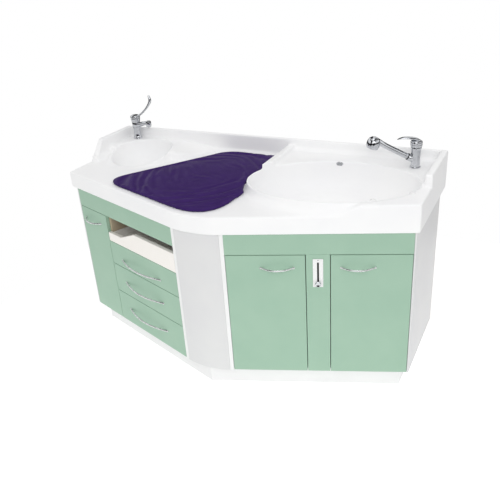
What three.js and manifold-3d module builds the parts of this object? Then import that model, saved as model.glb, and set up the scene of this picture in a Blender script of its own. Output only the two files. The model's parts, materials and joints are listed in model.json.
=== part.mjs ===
// Nursing changing table with a baby bath, a wash basin and a changing mat on one bow-fronted cabinet.
// Millimetres, +Z up. Everything is drawn from the wall (y = 0) forwards (y < 0), and the whole table
// is then moved so that the origin is in the middle of its footprint, on the floor.
import * as THREE from 'three';
import { mergeVertices } from 'three/addons/utils/BufferGeometryUtils.js';
import Module from 'manifold-3d';

const wasm = await Module();
wasm.setup();

// driving dimensions
const faceAngle = THREE.MathUtils.degToRad(20); // each front leans back by this from the wall's line
const faceWidth = 813; // width of each straight front, panels included
const postHalfChord = 113; // half the width of the curved post between the fronts
const sideDepth = 535; // wall to the outer corner of a front
const plinthHeight = 100;
const carcassTop = 800;
const deckTop = 880; // changing area
const bathDeckTop = 925; // raised deck round the bath
const shelfTop = 926; // raised shelf behind the wash basin
const ridgeTop = 950; // lip between the mat and the bath
const upstandTop = 980;
const overhang = 13; // worktop apron in front of the doors and at the bath's end
const leftOverhang = 30; // worktop past the cabinet at the wash basin's end
const panel = 18;
const frontThickness = 19;
const seam = 0.3; // glued or touching faces
const doorGap = 3; // shadow gap round doors and drawers
const serviceGap = 55; // pipe space between the cabinet and the wall
const plinthSetback = 45;

// worked-out dimensions
const cosFace = Math.cos(faceAngle);
const sinFace = Math.sin(faceAngle);
const tanFace = Math.tan(faceAngle);
const cabinetHalfWidth = postHalfChord + faceWidth * cosFace;
const postY = -sideDepth - faceWidth * sinFace; // the post's two front corners
const postRadius = postHalfChord / sinFace; // tangent to both fronts
const postCentreY = postY + postRadius * cosFace;
const worktopRight = cabinetHalfWidth + overhang;
const worktopLeft = -cabinetHalfWidth - leftOverhang;
const tableDepth = postRadius + overhang - postCentreY;
const floorTop = plinthHeight + panel;
const backY = -serviceGap - 8; // front of the back panel

// finishes
const finish = (color, roughness, metalness = 0) =>
  new THREE.MeshStandardMaterial({ color, roughness, metalness });
const castWhite = finish(0xfafafa, 0.22);
const laminateWhite = finish(0xf0f0f0, 0.5);
const laminateGreen = finish(0xa3c9b0, 0.5);
const laminateGrey = finish(0xe4e4e4, 0.5);
const trayCream = finish(0xf7f3ec, 0.45);
const drawerWhite = finish(0xe9e9e6, 0.55);
const chrome = finish(0xd8dadd, 0.12, 1);
const steel = finish(0xb5b8bb, 0.35, 1);
const vinylPurple = finish(0x42295f, 0.55);
const plateWhite = finish(0xf4f4f4, 0.35);
const pipeGrey = finish(0xdedede, 0.4);

const table = new THREE.Group();
table.position.set(-(worktopLeft + worktopRight) / 2, tableDepth / 2, 0);

// helpers
const point = (x, y) => new THREE.Vector2(x, y);

function part(name, geometry, material, parent = table) {
  const mesh = new THREE.Mesh(geometry, material);
  mesh.name = name;
  parent.add(mesh);
  return mesh;
}

// closed three.js geometry to a solid that can be joined and cut
function solid(geometry) {
  const bare = geometry.clone();
  bare.deleteAttribute('normal');
  bare.deleteAttribute('uv');
  const merged = mergeVertices(bare, 1e-3);
  const corners = merged.index.array;
  const kept = [];
  for (let i = 0; i < corners.length; i += 3) {
    const [a, b, c] = corners.slice(i, i + 3);
    if (a !== b && b !== c && c !== a) kept.push(a, b, c);
  }
  const mesh = new wasm.Mesh({
    numProp: 3,
    vertProperties: merged.attributes.position.array,
    triVerts: new Uint32Array(kept),
  });
  return new wasm.Manifold(mesh);
}

function geometryOf(body) {
  const mesh = body.getMesh();
  const geometry = new THREE.BufferGeometry();
  geometry.setAttribute('position', new THREE.BufferAttribute(mesh.vertProperties, 3));
  geometry.setIndex(new THREE.BufferAttribute(mesh.triVerts, 1));
  return geometry;
}

function prism(outline, bottom, top) {
  const shape = outline instanceof THREE.Shape ? outline : new THREE.Shape(outline);
  const geometry = new THREE.ExtrudeGeometry(shape, {
    depth: top - bottom,
    bevelEnabled: false,
    curveSegments: 10,
  });
  return geometry.translate(0, 0, bottom);
}

function block([x0, x1], [y0, y1], [z0, z1]) {
  const geometry = new THREE.BoxGeometry(x1 - x0, y1 - y0, z1 - z0);
  return geometry.translate((x0 + x1) / 2, (y0 + y1) / 2, (z0 + z1) / 2);
}

// an upright cylinder, or a cone frustum when the two radii differ
function rod(radius, [x, y], [z0, z1], sides = 20, topRadius = radius) {
  const geometry = new THREE.CylinderGeometry(topRadius, radius, z1 - z0, sides);
  return geometry.rotateX(Math.PI / 2).translate(x, y, (z0 + z1) / 2);
}

// a closed profile of [radius, height] pairs turned about the upright axis
function turned(profile, sides) {
  const points = profile.map(([r, z]) => point(r, z));
  return new THREE.LatheGeometry(points, sides).rotateX(Math.PI / 2);
}

// a round bar that follows a smooth curve through the given points
function bar(points, radius, steps, sides = 8) {
  const section = new THREE.Shape();
  section.absarc(0, 0, radius, 0, Math.PI * 2, false);
  const geometry = new THREE.ExtrudeGeometry(section, {
    extrudePath: new THREE.CatmullRomCurve3(points),
    steps,
    curveSegments: sides / 2,
  });
  return geometry;
}

// plan of the bow front
// the front edge from the left corner to the right one, moved outwards by offset
function bowFront(offset, steps = 12) {
  const corner = (past) => point(cabinetHalfWidth + past, -sideDepth + past * tanFace - offset / cosFace);
  const left = corner(offset + leftOverhang - overhang);
  const points = [point(-left.x, left.y)];
  for (let i = 0; i <= steps; i += 1) {
    const angle = faceAngle * ((2 * i) / steps - 1);
    const radius = postRadius + offset;
    points.push(point(radius * Math.sin(angle), postCentreY - radius * Math.cos(angle)));
  }
  points.push(corner(offset));
  return points;
}

function bowOutline(offset, rear) {
  const front = bowFront(offset);
  return [...front, point(front.at(-1).x, rear), point(front[0].x, rear)];
}

// a place on the right front: u along it from the post, d inwards from its surface
function onFace(u, d) {
  const x = postHalfChord + u * cosFace - d * sinFace;
  return point(x, postY + u * sinFace + d * cosFace);
}

// where the line d inside the face meets the plane x
function onFaceAtX(x, d) {
  return onFace((x - postHalfChord + d * sinFace) / cosFace, d);
}

// each straight front has its own group: local x runs along it, local y points into the cabinet
const faces = {};
for (const [side, sign] of [['left', -1], ['right', 1]]) {
  const group = new THREE.Group();
  group.position.set(sign * postHalfChord, postY, 0);
  group.rotation.z = sign * faceAngle;
  table.add(group);
  faces[side] = { group, sign };
}

// a board on a front, by its span from the post, its depth and its height
function board(name, side, span, depth, height, material) {
  const { group, sign } = faces[side];
  const [x0, x1] = sign > 0 ? span : [-span[1], -span[0]];
  return part(name, block([x0, x1], depth, height), material, group);
}

// bath and wash basin
const bath = {
  x: 465,
  y: -382,
  a: 380,
  b: 255,
  turn: THREE.MathUtils.degToRad(10),
  depth: 200,
  shell: 8,
  rim: bathDeckTop,
  sides: 48,
};
const basin = { x: -675, y: -210, a: 163, b: 170, turn: 0, depth: 140, shell: 7, rim: shelfTop, sides: 40 };
const bowlSteps = 8; // from a bowl's rim down to its floor
const drainFloorRadius = 60; // level floor round a bowl's drain
const wallTopReach = { a: 389, b: 263 }; // the bath's outer wall at the rim
const wallFootReach = { a: 394, b: 292 }; // and where it runs into the changing area
const sunk = 5; // a raised area starts this far inside the deck below it

// a boxy bowl: the wall starts upright at the rim and rounds into an almost flat floor
function bowlRadius(share) {
  return Math.cos((share * Math.PI) / 2) ** 0.5;
}

function bowlShell(bowl) {
  const inside = [];
  const outside = [];
  const outerA = bowl.a + bowl.shell;
  for (let i = 0; i <= bowlSteps; i += 1) {
    const share = i / bowlSteps;
    const drop = Math.sin((share * Math.PI) / 2);
    inside.push([bowl.a * bowlRadius(share), bowl.rim - bowl.depth * drop]);
    outside.push([outerA * bowlRadius(share), bowl.rim - (bowl.depth + bowl.shell) * drop]);
  }
  inside[bowlSteps][0] = drainFloorRadius;
  outside[bowlSteps][0] = drainFloorRadius;
  const [insideBottom, outsideBottom] = [inside[bowlSteps][1], outside[bowlSteps][1]];
  const profile = [[0, outsideBottom], ...outside.reverse(), ...inside, [0, insideBottom]];
  const shell = turned(profile, bowl.sides).scale(1, bowl.b / bowl.a, 1);
  return solid(shell.rotateZ(bowl.turn).translate(bowl.x, bowl.y, 0));
}

// the hole that a bowl is bonded into, cut with the same number of sides as the bowl
function bowlOpening(bowl, bottom, top) {
  const radius = bowl.a + bowl.shell + seam;
  const opening = rod(radius, [0, 0], [bottom, top], bowl.sides).scale(1, bowl.b / bowl.a, 1);
  return solid(opening.rotateZ(bowl.turn).translate(bowl.x, bowl.y, 0));
}

// the bath's outer wall, wider at its foot where it runs into the changing area
function bathWall() {
  const height = bathDeckTop - deckTop + 20;
  const wall = new THREE.CylinderGeometry(1, 1, height, 48).rotateX(Math.PI / 2);
  const places = wall.attributes.position;
  for (let i = 0; i < places.count; i += 1) {
    const reach = places.getZ(i) < 0 ? wallFootReach : wallTopReach;
    places.setX(i, places.getX(i) * reach.a);
    places.setY(i, places.getY(i) * reach.b);
  }
  return wall.rotateZ(bath.turn).translate(bath.x, bath.y, bathDeckTop - height / 2);
}

// worktop
const backUpstand = 15;
const leftUpstand = 30;
const rightUpstand = 33;
const ridge = { x0: 103, x1: 137, y: -350 };
const rightUpstandDepth = 355;
const leftUpstandDepth = 375;
const leftUpstandTop = 263; // where its front starts to slope down
const bathPlatformFrontX = 545; // the raised deck reaches the front edge from here to the right
const shelfRamp = 35; // the shelf's rounded front slope
const shelfFall = { from: -480, to: -200, end: deckTop + 10 }; // the shelf slopes down to its right tip
const drainRadius = 24;
const tapHoleRadius = 17;
const mixerAt = [766, -115];
const tapAt = [-812, -48];

function castTop() {
  const inOutline = (bottom, top) => solid(prism(bowOutline(overhang, 0), bottom, top));
  const bowFrontRight = bowFront(overhang).filter((p) => p.x > 300);
  const platform = [
    point(ridge.x0, 0),
    point(ridge.x0, ridge.y),
    point(bath.x, bath.y),
    onFaceAtX(bathPlatformFrontX, -overhang),
    ...bowFrontRight,
    point(worktopRight, 0),
  ];
  const shelfEdge = [[-345, 0], [-345, -110], [-370, -160], [-430, -192], [-500, -215]];
  const shelf = [point(worktopLeft, 0), ...shelfEdge.map(([x, y]) => point(x, y))];
  shelf.push(point(worktopLeft, -270));
  const rise = shelfTop - deckTop;
  const ramped = new THREE.ExtrudeGeometry(new THREE.Shape(shelf), {
    depth: 1,
    bevelThickness: rise,
    bevelSize: shelfRamp,
    bevelSegments: 2,
  }).translate(0, 0, deckTop - 1);
  const slope = [
    point(shelfFall.from, shelfTop),
    point(shelfFall.from, shelfTop + 60),
    point(shelfFall.to, shelfTop + 60),
    point(shelfFall.to, shelfFall.end),
  ];
  const slopeCut = new THREE.ExtrudeGeometry(new THREE.Shape(slope), { depth: 500, bevelEnabled: false })
    .rotateX(Math.PI / 2);
  const leftEnd = [
    point(0, deckTop - panel),
    point(0, upstandTop),
    point(-leftUpstandTop, upstandTop),
    point(-leftUpstandDepth, deckTop),
    point(-leftUpstandDepth, deckTop - panel),
  ];
  const leftUpstandBody = new THREE.ExtrudeGeometry(new THREE.Shape(leftEnd), {
    depth: leftUpstand,
    bevelEnabled: false,
  }).rotateX(Math.PI / 2).rotateZ(Math.PI / 2).translate(worktopLeft, 0, 0);

  const upstandHeight = [deckTop - sunk, upstandTop];
  const rightSpan = [worktopRight - rightUpstand, worktopRight];
  return inOutline(carcassTop, deckTop)
    .add(solid(ramped).subtract(solid(slopeCut)).intersect(inOutline(deckTop - sunk, shelfTop)))
    .add(solid(prism(platform, deckTop - sunk, bathDeckTop)))
    .add(solid(bathWall()).intersect(inOutline(deckTop - sunk, bathDeckTop)))
    .add(solid(block([ridge.x0, ridge.x1], [ridge.y, 0], [deckTop - sunk, ridgeTop])))
    .add(solid(block([worktopLeft, worktopRight], [-backUpstand, 0], upstandHeight)))
    .add(solid(leftUpstandBody))
    .add(solid(block(rightSpan, [-rightUpstandDepth, 0], upstandHeight)));
}

function addWorktopAndBowls() {
  const cast = castTop();
  const apronThickness = 30;
  const pocketTop = deckTop - panel;
  const pocket = solid(prism(bowOutline(overhang - apronThickness, -20), carcassTop - 1, pocketTop));
  const bathPocket = solid(block([160, 850], [-330, -40], [pocketTop - 1, bathDeckTop - panel]));
  const shelfPocket = solid(block([-865, -500], [-180, -40], [pocketTop - 1, shelfTop - panel]));
  const below = solid(block([-860, 860], [-790, -16], [carcassTop - 200, pocketTop + 1]));
  const bowlRoom = cast.add(below); // trims each bowl's rim to the surface of the deck
  let top = cast.subtract(pocket).subtract(bathPocket).subtract(shelfPocket);
  for (const [name, bowl] of [['bath_bowl', bath], ['wash_bowl', basin]]) {
    const drain = solid(rod(drainRadius, [bowl.x, bowl.y], [carcassTop - 200, bowl.rim - 50]));
    const shell = bowlShell(bowl).intersect(bowlRoom).subtract(drain);
    part(name, geometryOf(shell), castWhite);
    top = top.subtract(bowlOpening(bowl, pocketTop - 1, ridgeTop + 1));
  }
  for (const place of [mixerAt, tapAt]) {
    top = top.subtract(solid(rod(tapHoleRadius, place, [carcassTop, shelfTop + 10])));
  }
  part('worktop', geometryOf(top), castWhite);
}
addWorktopAndBowls();

// carcass
const visibleEdge = 7.5; // of a side panel, beside the fronts
const frontZone = [panel + seam, faceWidth - visibleEdge]; // along a face, covered by fronts
const upright = [plinthHeight, carcassTop - seam]; // height of every upright board
const postPanelDepth = 300;
const postThickness = 15;
const partitionSpan = [559, 577]; // between the drawers and the left door
const partitionDepth = 585;
const centreFront = -528; // front edge of the partition behind the post
const nicheFloor = 566;
const shelfDepth = 330;

function flipped(outline, sign) {
  return outline.map((p) => point(sign * p.x, p.y));
}

function addCarcass() {
  const innerSideX = cabinetHalfWidth - panel;
  for (const [side, sign] of [['left', -1], ['right', 1]]) {
    const sidePanel = [
      onFace(faceWidth, 0),
      point(cabinetHalfWidth, -serviceGap),
      point(innerSideX, -serviceGap),
      onFaceAtX(innerSideX, frontThickness + 1),
      onFace(frontZone[1] + 0.5, frontThickness + 1),
      onFace(frontZone[1] + 0.5, 0),
    ];
    part(`side_panel_${side}`, prism(flipped(sidePanel, sign), ...upright), laminateGrey);
    board(`post_panel_${side}`, side, [0, panel], [0, postPanelDepth], upright, laminateWhite);
    const floor = [
      onFace(frontZone[0], frontThickness + 1),
      onFaceAtX(innerSideX - seam, frontThickness + 1),
      point(innerSideX - seam, backY - seam),
      point(panel / 2 + seam, backY - seam),
      point(panel / 2 + seam, postY + postPanelDepth * cosFace + 10), // clear of the centre partition
      onFace(frontZone[0], postPanelDepth),
    ];
    part(`floor_panel_${side}`, prism(flipped(floor, sign), plinthHeight, floorTop), laminateWhite);
    const plinthCorner = point(0, -(sideDepth + (cabinetHalfWidth * tanFace)) + plinthSetback / cosFace);
    const plinthSideX = cabinetHalfWidth - plinthSetback;
    const plinthEnd = onFaceAtX(plinthSideX, plinthSetback);
    const inner = panel / cosFace;
    const front = [
      point(seam / 2, plinthCorner.y),
      plinthEnd,
      point(plinthEnd.x, plinthEnd.y + inner),
      point(seam / 2, plinthCorner.y + inner),
    ];
    part(`plinth_front_${side}`, prism(flipped(front, sign), 0, plinthHeight - seam), laminateWhite);
    const acrossPlinth = [plinthSideX - panel, plinthSideX].map((x) => x * sign).sort((a, b) => a - b);
    const alongPlinth = [plinthEnd.y + inner + seam, -serviceGap - 20];
    part(`plinth_side_${side}`, block(acrossPlinth, alongPlinth, [0, plinthHeight - seam]), laminateWhite);
  }
  const backSpan = [-innerSideX + seam, innerSideX - seam];
  part('back_panel', block(backSpan, [backY, -serviceGap], upright), laminateWhite);
  const centre = block([-panel / 2, panel / 2], [centreFront, backY - seam], upright);
  part('centre_partition', centre, laminateWhite);
  const behindFronts = frontThickness + 1;
  const onFloor = [floorTop + seam, upright[1]];
  board('drawer_partition', 'left', partitionSpan, [behindFronts, partitionDepth], onFloor, laminateWhite);
  const nicheWidth = [frontZone[0], partitionSpan[0] - seam];
  const shelfHeight = [nicheFloor - 1 - panel, nicheFloor - 1];
  board('niche_shelf', 'left', nicheWidth, [behindFronts, shelfDepth], shelfHeight, laminateWhite);

  // the bent panel between the two fronts
  const bend = new THREE.Shape();
  const sweep = faceAngle - 0.4 / postRadius;
  const middle = Math.PI * 1.5;
  bend.absarc(0, postCentreY, postRadius, middle - sweep, middle + sweep, false);
  bend.absarc(0, postCentreY, postRadius - postThickness, middle + sweep, middle - sweep, true);
  part('corner_post', prism(bend, ...upright), laminateGrey);
}
addCarcass();

// fronts, drawers and tray
const fasciaBottom = 702;
const frontBottom = 102;
const stripSpan = [363, 464]; // fixed strip between the bath's doors
const drawerZone = [frontZone[0] + 1.5, 568];
const drawerFronts = { top: [438.5, 564], middle: [278.5, 435.5], bottom: [frontBottom, 275.5] };
const face = [0, frontThickness];
const runnerDepth = [21, 300];
const drawerWall = 12;
const drawerSpan = [33, 544]; // outside of the boxes, along the face
const runnerSpans = {
  right: [panel + seam, drawerSpan[0] - 1],
  left: [drawerSpan[1] + 1, partitionSpan[0] - seam],
};
const trayHigh = { to: 334, top: 663 }; // the tray's front is high from the post to here
const trayLow = { from: 452, top: 614 }; // and low from here on, to reach in

// an open box with thin walls: a drawer or a tray without its front
function openBox([x0, x1], [y0, y1], [z0, z1], wall, floor) {
  const outside = solid(block([x0, x1], [y0, y1], [z0, z1]));
  const inside = solid(block([x0 + wall, x1 - wall], [y0 + wall, y1 - wall], [z0 + floor, z1 + 1]));
  return outside.subtract(inside);
}

function addFronts() {
  for (const side of ['left', 'right']) {
    board(`fascia_${side}`, side, frontZone, face, [fasciaBottom, carcassTop - seam], laminateGreen);
  }
  const doorHeight = [frontBottom, fasciaBottom - doorGap];
  board('centre_strip', 'right', stripSpan, face, [frontBottom, fasciaBottom - seam], laminateGreen);
  const doorStart = frontZone[0] + doorGap / 2;
  const doorEnd = frontZone[1] - doorGap / 2;
  board('bath_door_left', 'right', [doorStart, stripSpan[0] - doorGap], face, doorHeight, laminateGreen);
  board('bath_door_right', 'right', [stripSpan[1] + doorGap, doorEnd], face, doorHeight, laminateGreen);
  board('side_door', 'left', [drawerZone[1] + doorGap, doorEnd], face, doorHeight, laminateGreen);

  const left = faces.left.group;
  const boxSpan = [-drawerSpan[1], -drawerSpan[0]];
  for (const [level, [bottom, top]] of Object.entries(drawerFronts)) {
    board(`drawer_front_${level}`, 'left', drawerZone, face, [bottom, top], laminateGreen);
    const height = [Math.max(bottom + 12, floorTop + 6), top - 25];
    const box = openBox(boxSpan, [frontThickness + seam, shelfDepth], height, drawerWall, drawerWall);
    part(`drawer_box_${level}`, geometryOf(box), drawerWhite, left);
    const middle = (height[0] + height[1]) / 2;
    for (const [end, span] of Object.entries(runnerSpans)) {
      board(`runner_${level}_${end}`, 'left', span, runnerDepth, [middle - 20, middle + 20], steel);
    }
  }

  // the tray's front is low at one end, to reach in, and high at the other
  const trayBottom = nicheFloor + 1;
  const front = [
    point(-drawerZone[0], trayBottom),
    point(-drawerZone[0], trayHigh.top),
    point(-trayHigh.to, trayHigh.top),
    point(-trayLow.from, trayLow.top),
    point(-drawerZone[1] + 2, trayLow.top - 2),
    point(-drawerZone[1] + 2, trayBottom),
  ];
  const trayFront = new THREE.ExtrudeGeometry(new THREE.Shape(front), {
    depth: frontThickness,
    bevelEnabled: false,
  }).rotateX(Math.PI / 2).translate(0, frontThickness, 0);
  const trayWall = 8;
  const trayBox = openBox([-554, -24], [frontThickness - 6, 328], [trayBottom, 610], trayWall, trayWall);
  part('tray', geometryOf(solid(trayFront).add(trayBox)), trayCream, left);
}
addFronts();

// handles
const handleReach = 30;

// a flat bow between two feet on the front
function addHandle(name, side, [u0, u1], height) {
  const { group, sign } = faces[side];
  const middle = (u0 + u1) / 2;
  const foot = 8;
  const half = (u1 - u0) / 2;
  const bow = [-1, -0.93, -0.6, 0, 0.6, 0.93, 1].map((share) => {
    const reach = foot + (handleReach - foot) * (1 - share * share);
    return new THREE.Vector3(sign * (middle + share * (half - 4)), -reach, height);
  });
  let handle = solid(bar(bow, 4, 14));
  for (const end of [-1, 1]) {
    const x = sign * (middle + end * (half - 6));
    const post = new THREE.CylinderGeometry(5, 5, foot + 3, 12).translate(x, -(foot + 3) / 2 - seam, height);
    handle = handle.add(solid(post));
  }
  part(name, geometryOf(handle), chrome, group);
}

addHandle('handle_bath_door_left', 'right', [167, 315], 640);
addHandle('handle_bath_door_right', 'right', [507, 655], 640);
addHandle('handle_side_door', 'left', [629, 771], 640);
const drawerHandleSpan = [148, 472];
const handleBelowTop = 82;
for (const [level, [, top]] of Object.entries(drawerFronts)) {
  addHandle(`handle_drawer_${level}`, 'left', drawerHandleSpan, top - handleBelowTop);
}

// bath waste control
const plateCentre = (stripSpan[0] + stripSpan[1]) / 2;
const slotBottom = 560;
const knobTravel = 90;

function addWasteControl() {
  const right = faces.right.group;
  const plate = solid(block([plateCentre - 22, plateCentre + 22], [-3, -seam], [548, 682]));
  const slotSpan = [plateCentre - 4, plateCentre + 4];
  const slot = solid(block(slotSpan, [-5, 5], [slotBottom, slotBottom + knobTravel + 16]));
  part('control_plate', geometryOf(plate.subtract(slot)), plateWhite, right);
  const knob = new THREE.CylinderGeometry(13, 11, 12, 24).translate(0, -10, 0);
  const stem = new THREE.CylinderGeometry(2.5, 2.5, 5, 12).translate(0, -3, 0);
  const control = geometryOf(solid(knob).add(solid(stem)));
  control.translate(plateCentre, 0, slotBottom + 6);
  part('control_knob', control, chrome, right);
}
addWasteControl();

// wastes, plug and traps
function addWaste(name, bowl) {
  const bottom = bowl.rim - bowl.depth;
  const tailEnd = bottom - 62;
  const profile = [
    [16, tailEnd], [20, tailEnd], [20, bottom - 4], [23, bottom - 4], [23, bottom + 0.5],
    [32, bottom + 0.5], [32, bottom + 2.5], [26, bottom + 3.5], [22, bottom], [16, bottom - 6], [16, tailEnd],
  ];
  part(`${name}_waste`, turned(profile, 24).translate(bowl.x, bowl.y, 0), chrome);
  const cupTop = tailEnd + 10;
  const cup = solid(rod(32, [bowl.x, bowl.y], [cupTop - 110, cupTop - 20], 20));
  const neck = solid(rod(24.5, [bowl.x, bowl.y], [cupTop - 25, cupTop], 20));
  const well = solid(rod(20.4, [bowl.x, bowl.y], [cupTop - 95, cupTop + 1], 20));
  const outletLength = backY - 12 - bowl.y;
  const outlet = new THREE.CylinderGeometry(16, 16, outletLength, 16);
  outlet.translate(bowl.x, bowl.y + outletLength / 2, cupTop - 45);
  const bore = new THREE.CylinderGeometry(13, 13, outletLength + 10, 16);
  bore.translate(bowl.x, bowl.y + outletLength / 2 + 5, cupTop - 45);
  const trap = cup.add(neck).add(solid(outlet)).subtract(well).subtract(solid(bore));
  part(`${name}_trap`, geometryOf(trap), pipeGrey);
}
addWaste('bath', bath);
addWaste('basin', basin);

const plugSeat = bath.rim - bath.depth;
const plugProfile = [
  [0, plugSeat - 30], [3, plugSeat - 30], [3, plugSeat + 3.8], [24, plugSeat + 3.8],
  [25, plugSeat + 6], [14, plugSeat + 9], [0, plugSeat + 10],
];
part('bath_plug', turned(plugProfile, 24).translate(bath.x, bath.y, 0), chrome);

// changing mat
const matThickness = 15;

// rounded at the front, cut square against the ridge and hollowed to clear the bath's wall
function addMat() {
  const outline = new THREE.Shape();
  const [rightX, backEdgeY] = [60, -40];
  outline.moveTo(-205, backEdgeY);
  outline.lineTo(rightX, backEdgeY);
  outline.lineTo(rightX, -440);
  const clear = { a: 403, b: 301 };
  for (const degrees of [187, 191, 195, 199]) {
    const t = THREE.MathUtils.degToRad(degrees);
    const local = point(clear.a * Math.cos(t), clear.b * Math.sin(t));
    local.rotateAround(point(0, 0), bath.turn);
    outline.lineTo(bath.x + local.x, bath.y + local.y);
  }
  outline.lineTo(101, -630);
  outline.quadraticCurveTo(100, -871, -150, -779);
  outline.lineTo(-518, -645);
  outline.quadraticCurveTo(-610, -607, -572, -535);
  outline.lineTo(-285, -105);
  outline.quadraticCurveTo(-242, backEdgeY, -205, backEdgeY);
  part('changing_mat', prism(outline, deckTop + seam, deckTop + matThickness), vinylPurple);
}
addMat();

// bath mixer
const aim = (degrees) => THREE.MathUtils.degToRad(degrees);

// a group that stands on the deck and turns its own +X towards the bowl
function stand([x, y], z, heading) {
  const group = new THREE.Group();
  group.position.set(x, y, z + seam);
  group.rotation.z = heading;
  table.add(group);
  return group;
}

// a straight round bar from one point to another
function strut(from, to, radius, sides, endRadius = radius) {
  const along = new THREE.Vector3().subVectors(to, from);
  const geometry = new THREE.CylinderGeometry(endRadius, radius, along.length(), sides);
  const up = new THREE.Vector3(0, 1, 0);
  geometry.applyQuaternion(new THREE.Quaternion().setFromUnitVectors(up, along.clone().normalize()));
  const middle = from.clone().addScaledVector(along, 0.5);
  return geometry.translate(middle.x, middle.y, middle.z);
}
const at = (x, y, z) => new THREE.Vector3(x, y, z);

function addMixer() {
  const mixer = stand(mixerAt, bathDeckTop, aim(205));
  const foot = solid(rod(24, [0, 0], [0, 5], 28));
  const shank = solid(rod(15, [0, 0], [-90, 1], 16));
  const column = solid(rod(21, [0, 0], [4, 96], 28, 25));
  const socketStart = at(8, 0, 34);
  const socketEnd = at(52, 0, 56);
  const socket = solid(strut(socketStart, socketEnd, 16, 20, 14));
  const axis = new THREE.Vector3().subVectors(socketEnd, socketStart).normalize();
  const boreStart = socketEnd.clone().addScaledVector(axis, -16);
  const bore = solid(strut(boreStart, socketEnd.clone().addScaledVector(axis, 5), 10.3, 20));
  const body = foot.add(shank).add(column).add(socket).subtract(bore);
  part('mixer_body', geometryOf(body), chrome, mixer);

  part('mixer_cap', rod(25, [0, 0], [96.5, 106], 28, 26), chrome, mixer);
  const dome = solid(rod(26, [0, 0], [106.5, 127], 28, 19));
  const grip = [at(0, 0, 118), at(30, 0, 129), at(62, 0, 131), at(92, 0, 124)];
  const lever = dome.add(solid(bar(grip, 6.5, 8, 10)));
  part('mixer_lever', geometryOf(lever), chrome, mixer);

  // the pull-out hand shower: a tapered handle and a round head that looks down into the bath
  const onAxis = (distance) => socketEnd.clone().addScaledVector(axis, distance);
  const plug = solid(strut(onAxis(-15.5), onAxis(6), 10, 20));
  const handleStart = onAxis(0.5);
  const handleEnd = at(186, 0, 122);
  const handle = solid(strut(handleStart, handleEnd, 12, 20, 12));
  const head = new THREE.CylinderGeometry(22, 30, 44, 28);
  head.rotateX(Math.PI / 2).rotateY(-0.3).translate(200, 0, 112);
  part('hand_shower', geometryOf(plug.add(handle).add(solid(head))), chrome, mixer);
}
addMixer();

// wash basin tap
function addTap() {
  const tap = stand(tapAt, shelfTop, aim(-13));
  const foot = solid(rod(24, [0, 0], [0, 5], 24));
  const shank = solid(rod(15, [0, 0], [-90, 1], 16));
  const lowerColumn = solid(rod(20, [0, 0], [4, 62], 24, 17));
  const spigot = solid(rod(12, [0, 0], [61, 98], 24));
  part('tap_body', geometryOf(foot.add(shank).add(lowerColumn).add(spigot)), chrome, tap);

  // the spout's collar turns on the body's spigot
  const collar = solid(rod(19, [0, 0], [62.5, 92], 24));
  const collarBore = solid(rod(12.3, [0, 0], [60, 95], 24));
  const arm = solid(strut(at(10, 0, 78), at(102, 0, 92), 9, 14));
  const outlet = solid(rod(14, [104, 0], [76, 104], 20, 12));
  part('tap_spout', geometryOf(collar.add(arm).add(outlet).subtract(collarBore)), chrome, tap);

  part('tap_cap', rod(19, [0, 0], [98.5, 112], 24, 20), chrome, tap);
  const head = solid(rod(20, [0, 0], [112.5, 128], 24, 17));
  const grip = [at(4, 0, 122), at(52, 0, 150), at(94, 0, 190), at(100, 0, 216), at(95, 0, 239)];
  const elbow = solid(bar(grip, 4.5, 12).rotateZ(aim(21)));
  part('tap_lever', geometryOf(head.add(elbow)), chrome, tap);
}
addTap();

export default table;
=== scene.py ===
import json
import math
import bpy
from mathutils import Matrix, Vector

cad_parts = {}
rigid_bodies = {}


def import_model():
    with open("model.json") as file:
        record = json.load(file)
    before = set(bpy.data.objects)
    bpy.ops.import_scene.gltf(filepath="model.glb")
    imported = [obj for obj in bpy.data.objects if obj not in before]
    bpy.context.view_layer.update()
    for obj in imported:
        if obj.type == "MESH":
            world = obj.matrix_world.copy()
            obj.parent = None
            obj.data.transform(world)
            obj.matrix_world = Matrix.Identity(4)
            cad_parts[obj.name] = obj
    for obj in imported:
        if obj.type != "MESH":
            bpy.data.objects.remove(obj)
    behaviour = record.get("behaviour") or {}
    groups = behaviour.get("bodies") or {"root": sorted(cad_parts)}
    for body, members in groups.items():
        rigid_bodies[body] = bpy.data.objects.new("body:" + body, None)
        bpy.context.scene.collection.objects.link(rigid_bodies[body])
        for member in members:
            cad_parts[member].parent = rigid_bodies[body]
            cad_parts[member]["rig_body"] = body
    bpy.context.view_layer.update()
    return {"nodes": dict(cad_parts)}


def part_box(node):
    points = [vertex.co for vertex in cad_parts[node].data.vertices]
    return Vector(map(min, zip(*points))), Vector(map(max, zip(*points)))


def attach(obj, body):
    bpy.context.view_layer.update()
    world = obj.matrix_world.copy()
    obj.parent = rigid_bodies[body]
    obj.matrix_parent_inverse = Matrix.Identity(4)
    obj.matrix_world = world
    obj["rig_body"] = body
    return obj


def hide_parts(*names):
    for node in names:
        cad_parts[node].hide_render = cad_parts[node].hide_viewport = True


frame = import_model()

# metres; the worktop's back stands against the wall
leftEnd, wallY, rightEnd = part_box("worktop")[0].x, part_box("worktop")[1].y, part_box("worktop")[1].x
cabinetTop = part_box("side_panel_right")[1].z
bowX = (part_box("corner_post")[0].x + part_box("corner_post")[1].x) / 2  # middle of the curved post

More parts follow.
